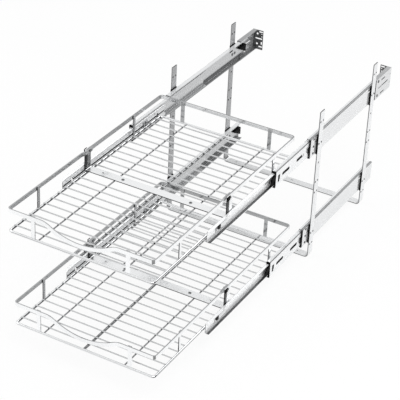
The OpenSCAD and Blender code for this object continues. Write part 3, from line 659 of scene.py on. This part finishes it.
def make_fasteners(node, body, axis):
    """Replaces a node's plain screws, bolts or rivets by ones with domed heads, dark crosses of painted
    recess shade, and hex nuts.
    """
    turn_up = Matrix.Identity(3) if axis == 2 else Matrix.Rotation(math.pi / 2, 3, "Y")
    turn_down = turn_up @ Matrix.Rotation(math.pi, 3, "X")
    bm = bmesh.new()
    recess = bmesh.new()
    for points in solids_of(node):
        middle, levels, shank = round_levels(points, axis)
        low, high = min(levels), max(levels) - SHANK_SHORTER
        lathe(bm, middle, turn_up, [(low, 0), (low, shank), (high, shank), (high, 0)], SCREW_SIDES)
        for sign, radius, start, height in heads_of(levels, shank):
            turn = turn_up if sign > 0 else turn_down
            if abs(height - NUT_H) < NUT_MARGIN and sign == nut_sign(node, middle):
                add_nut(bm, middle, turn, radius, start, height)
            else:
                add_dome(bm, middle, turn, radius, start, height)
                add_recess(recess, middle, turn, radius, start + height)
    bmesh.ops.recalc_face_normals(bm, faces=bm.faces)
    piece = finish_mesh(f"{node}_detailed", bm, body, "zinc_screw")
    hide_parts(node)
    if "rivets" in node:
        recess.free()
    else:
        finish_mesh(f"{node}_recess_shades", recess, body, "zinc_screw", PAINTED_RECESS_SHADE)


def make_front_pins(tier, side):
    """Dark moulded pins that hold the front clip in the web of a cabinet member."""
    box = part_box(f"{tier}_{side}_cabinet_member")
    sign = SIDES[side]
    half_h = (box[1][2] - box[0][2]) / 2
    turn = Matrix.Rotation(sign * math.pi / 2, 3, "Y")
    top = PIN_DEPTH + PIN_HEAD_H
    profile = [(0, 0), (0, PIN_R), (PIN_DEPTH, PIN_R), (PIN_DEPTH, PIN_HEAD_R),
               (PIN_DEPTH + PIN_EDGE_SHARE * PIN_HEAD_H, PIN_HEAD_R),
               (top, PIN_EDGE_SHARE * PIN_HEAD_R), (top, 0)]
    x = outer_x(box, sign) - sign * PIN_DEPTH
    bm = bmesh.new()
    for share in PIN_SHARES:
        place = Vector((x, box[0][1] + PIN_Y, SLIDE_Z[tier] + share * half_h))
        lathe(bm, place, turn, profile, SCREW_SIDES)
    bmesh.ops.recalc_face_normals(bm, faces=bm.faces)
    finish_mesh(f"{tier}_{side}_front_pins", bm, "cabinet_frame", "black_plastic", smooth=True)


def make_lap_clips(tier):
    """Black clips that wrap the front of both risers at the rail."""
    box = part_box(f"{tier}_lap_clips")
    riser_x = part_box(f"{tier}_floor_strap")[1][0]
    start = RISER_FRONT[tier] + LAP_INSET
    bm = bmesh.new()
    for sign in SIDES.values():
        xs = sorted((sign * riser_x, sign * (riser_x + LAP_PROUD)))
        low = (xs[0], start, box[0][2])
        high = (xs[1], start + LAP_L, box[1][2] + LAP_ABOVE)
        bevelled_block(bm, low, high, LAP_BEVEL)
    piece = finish_mesh(f"{tier}_lap_clips_detailed", bm, f"{tier}_basket", "black_plastic")
    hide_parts(f"{tier}_lap_clips")


def make_clip_hooks(tier):
    """A hook of the middle clips on the middle member's web, and a dark tongue in front of it."""
    bm = bmesh.new()
    for side, sign in SIDES.items():
        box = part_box(f"{tier}_{side}_middle_member")
        web_x = outer_x(box, sign)
        hook_xs = sorted((web_x, web_x + sign * HOOK_PROUD))
        tongue_xs = sorted(web_x - sign * depth for depth in TONGUE_IN)
        for xs, ys, zs in ((hook_xs, HOOK_Y, HOOK_Z), (tongue_xs, TONGUE_Y, TONGUE_Z)):
            low, high = ((x, box[0][1] + y, SLIDE_Z[tier] + z) for x, y, z in zip(xs, ys, zs))
            bevelled_block(bm, low, high, CLIP_BEVEL)
    finish_mesh(f"{tier}_clip_hooks", bm, f"{tier}_slide_middle", "black_plastic")


def make_details():
    """The small pieces that only the scene has, and those that take the place of plain ones."""
    for tier in TIERS:
        make_welds(tier)
        make_lap_clips(tier)
        make_clip_hooks(tier)
        make_fasteners(f"{tier}_strap_bolts", f"{tier}_basket", 2)
        make_fasteners(f"{tier}_rail_bolts", f"{tier}_basket", 0)
        make_fasteners(f"{tier}_slide_screws", f"{tier}_basket", 0)
        for side in SIDES:
            make_front_pins(tier, side)
    make_fasteners("leg_screws", "cabinet_frame", 0)
    make_fasteners("bracket_rivets", "cabinet_frame", 0)


def floor_dark(graph):
    """1 where the floor is dark: to the right in front of the object, and far away."""
    coords = graph.nodes.new("ShaderNodeTexCoord")
    place = graph.split(coords.outputs["Object"])
    to_right = graph.rise(place["X"], *FLOOR_DARK_RIGHT)
    to_front = graph.rise(graph.math("MULTIPLY", place["Y"], -1.0), *FLOOR_DARK_FRONT)
    reach = graph.nodes.new("ShaderNodeVectorMath")
    reach.operation = "LENGTH"
    graph.feed(reach.inputs[0], coords.outputs["Object"])
    far = graph.rise(reach.outputs["Value"], *FLOOR_DARK_REACH)
    return graph.math("MAXIMUM", graph.all_of(to_right, to_front), far)


def floor_material():
    """Pale with the object's shadow, white to the camera, and with its dark parts in reflections only."""
    mat = bpy.data.materials.new("studio_floor")
    mat.use_nodes = True
    graph = Graph(mat.node_tree)
    graph.nodes.clear()
    path = graph.nodes.new("ShaderNodeLightPath").outputs
    seen = graph.math("MAXIMUM", path["Is Camera Ray"], path["Is Glossy Ray"])
    seen = graph.math("MAXIMUM", seen, path["Is Transmission Ray"])
    diffuse = graph.nodes.new("ShaderNodeBsdfDiffuse")
    diffuse.inputs["Color"].default_value = grey(FLOOR_GREY)
    mirrored = graph.all_of(floor_dark(graph), path["Is Glossy Ray"])
    glow = graph.nodes.new("ShaderNodeEmission")
    glow.inputs["Strength"].default_value = 1.0
    graph.feed(glow.inputs["Color"], graph.mix(mirrored, grey(WHITE), grey(DARK_STUDIO)))
    mix = graph.nodes.new("ShaderNodeMixShader")
    graph.feed(mix.inputs["Fac"], graph.math("MULTIPLY", seen, FLOOR_GLOW_SHARE))
    graph.feed(mix.inputs[1], diffuse.outputs[0])
    graph.feed(mix.inputs[2], glow.outputs[0])
    output = graph.nodes.new("ShaderNodeOutputMaterial")
    graph.feed(output.inputs["Surface"], mix.outputs[0])
    return mat


def make_floor():
    """A plain pale floor just below the object."""
    half = FLOOR_SIZE / 2
    corners = [(-half, -half, 0), (half, -half, 0), (half, half, 0), (-half, half, 0)]
    mesh = bpy.data.meshes.new("studio_floor")
    mesh.from_pydata(corners, [], [(0, 1, 2, 3)])
    mesh.update()
    mesh.materials.append(floor_material())
    floor = bpy.data.objects.new("studio_floor", mesh)
    floor.location.z = -FLOOR_DROP
    bpy.context.scene.collection.objects.link(floor)


def make_world():
    """Soft surroundings: white to the camera, a gentle grey as light, and bright with dark parts in
    reflections."""
    world = bpy.data.worlds.new("studio")
    bpy.context.scene.world = world
    world.use_nodes = True
    graph = Graph(world.node_tree)
    graph.nodes.clear()
    path = graph.nodes.new("ShaderNodeLightPath").outputs
    coords = graph.nodes.new("ShaderNodeTexCoord")
    direction = graph.split(coords.outputs["Generated"])
    dark = graph.math("MAXIMUM", graph.rise(direction["X"], *WORLD_DARK_X),
                      graph.rise(direction["Z"], *WORLD_DARK_Z))
    mirrored = graph.mix(dark, grey(SKY), grey(DARK_STUDIO))
    light = graph.mix(path["Is Glossy Ray"], grey(AMBIENT), mirrored)
    background = graph.nodes.new("ShaderNodeBackground")
    graph.feed(background.inputs["Color"], graph.mix(path["Is Camera Ray"], light, grey(WHITE)))
    output = graph.nodes.new("ShaderNodeOutputWorld")
    graph.feed(output.inputs["Surface"], background.outputs[0])


def make_lights():
    """The soft lights, each turned to its target."""
    for name, place, target, size, power in LIGHTS:
        data = bpy.data.lights.new(name, "AREA")
        data.shape = "RECTANGLE"
        data.size, data.size_y = size
        data.energy = power
        lamp = bpy.data.objects.new(name, data)
        lamp.location = place
        lamp.rotation_euler = (Vector(target) - Vector(place)).to_track_quat("-Z", "Y").to_euler()
        bpy.context.scene.collection.objects.link(lamp)


def make_camera():
    """The photograph's camera, as solved from its straight edges."""
    data = bpy.data.cameras.new("photo_camera")
    data.lens = CAMERA_LENS
    data.sensor_width = SENSOR_WIDTH
    data.sensor_fit = "HORIZONTAL"
    data.clip_end = CAMERA_REACH
    camera = bpy.data.objects.new("photo_camera", data)
    back = CAMERA_RIGHT.cross(CAMERA_UP).normalized()
    up = back.cross(CAMERA_RIGHT).normalized()
    right = up.cross(back).normalized()
    turn = Matrix((right, up, back)).transposed()
    camera.matrix_world = Matrix.Translation(CAMERA_PLACE) @ turn.to_4x4()
    bpy.context.scene.collection.objects.link(camera)
    bpy.context.scene.camera = camera


make_camera()
make_world()
make_lights()
make_floor()
dress_cad_nodes()
make_details()
bpy.context.scene.view_settings.view_transform = "Standard"
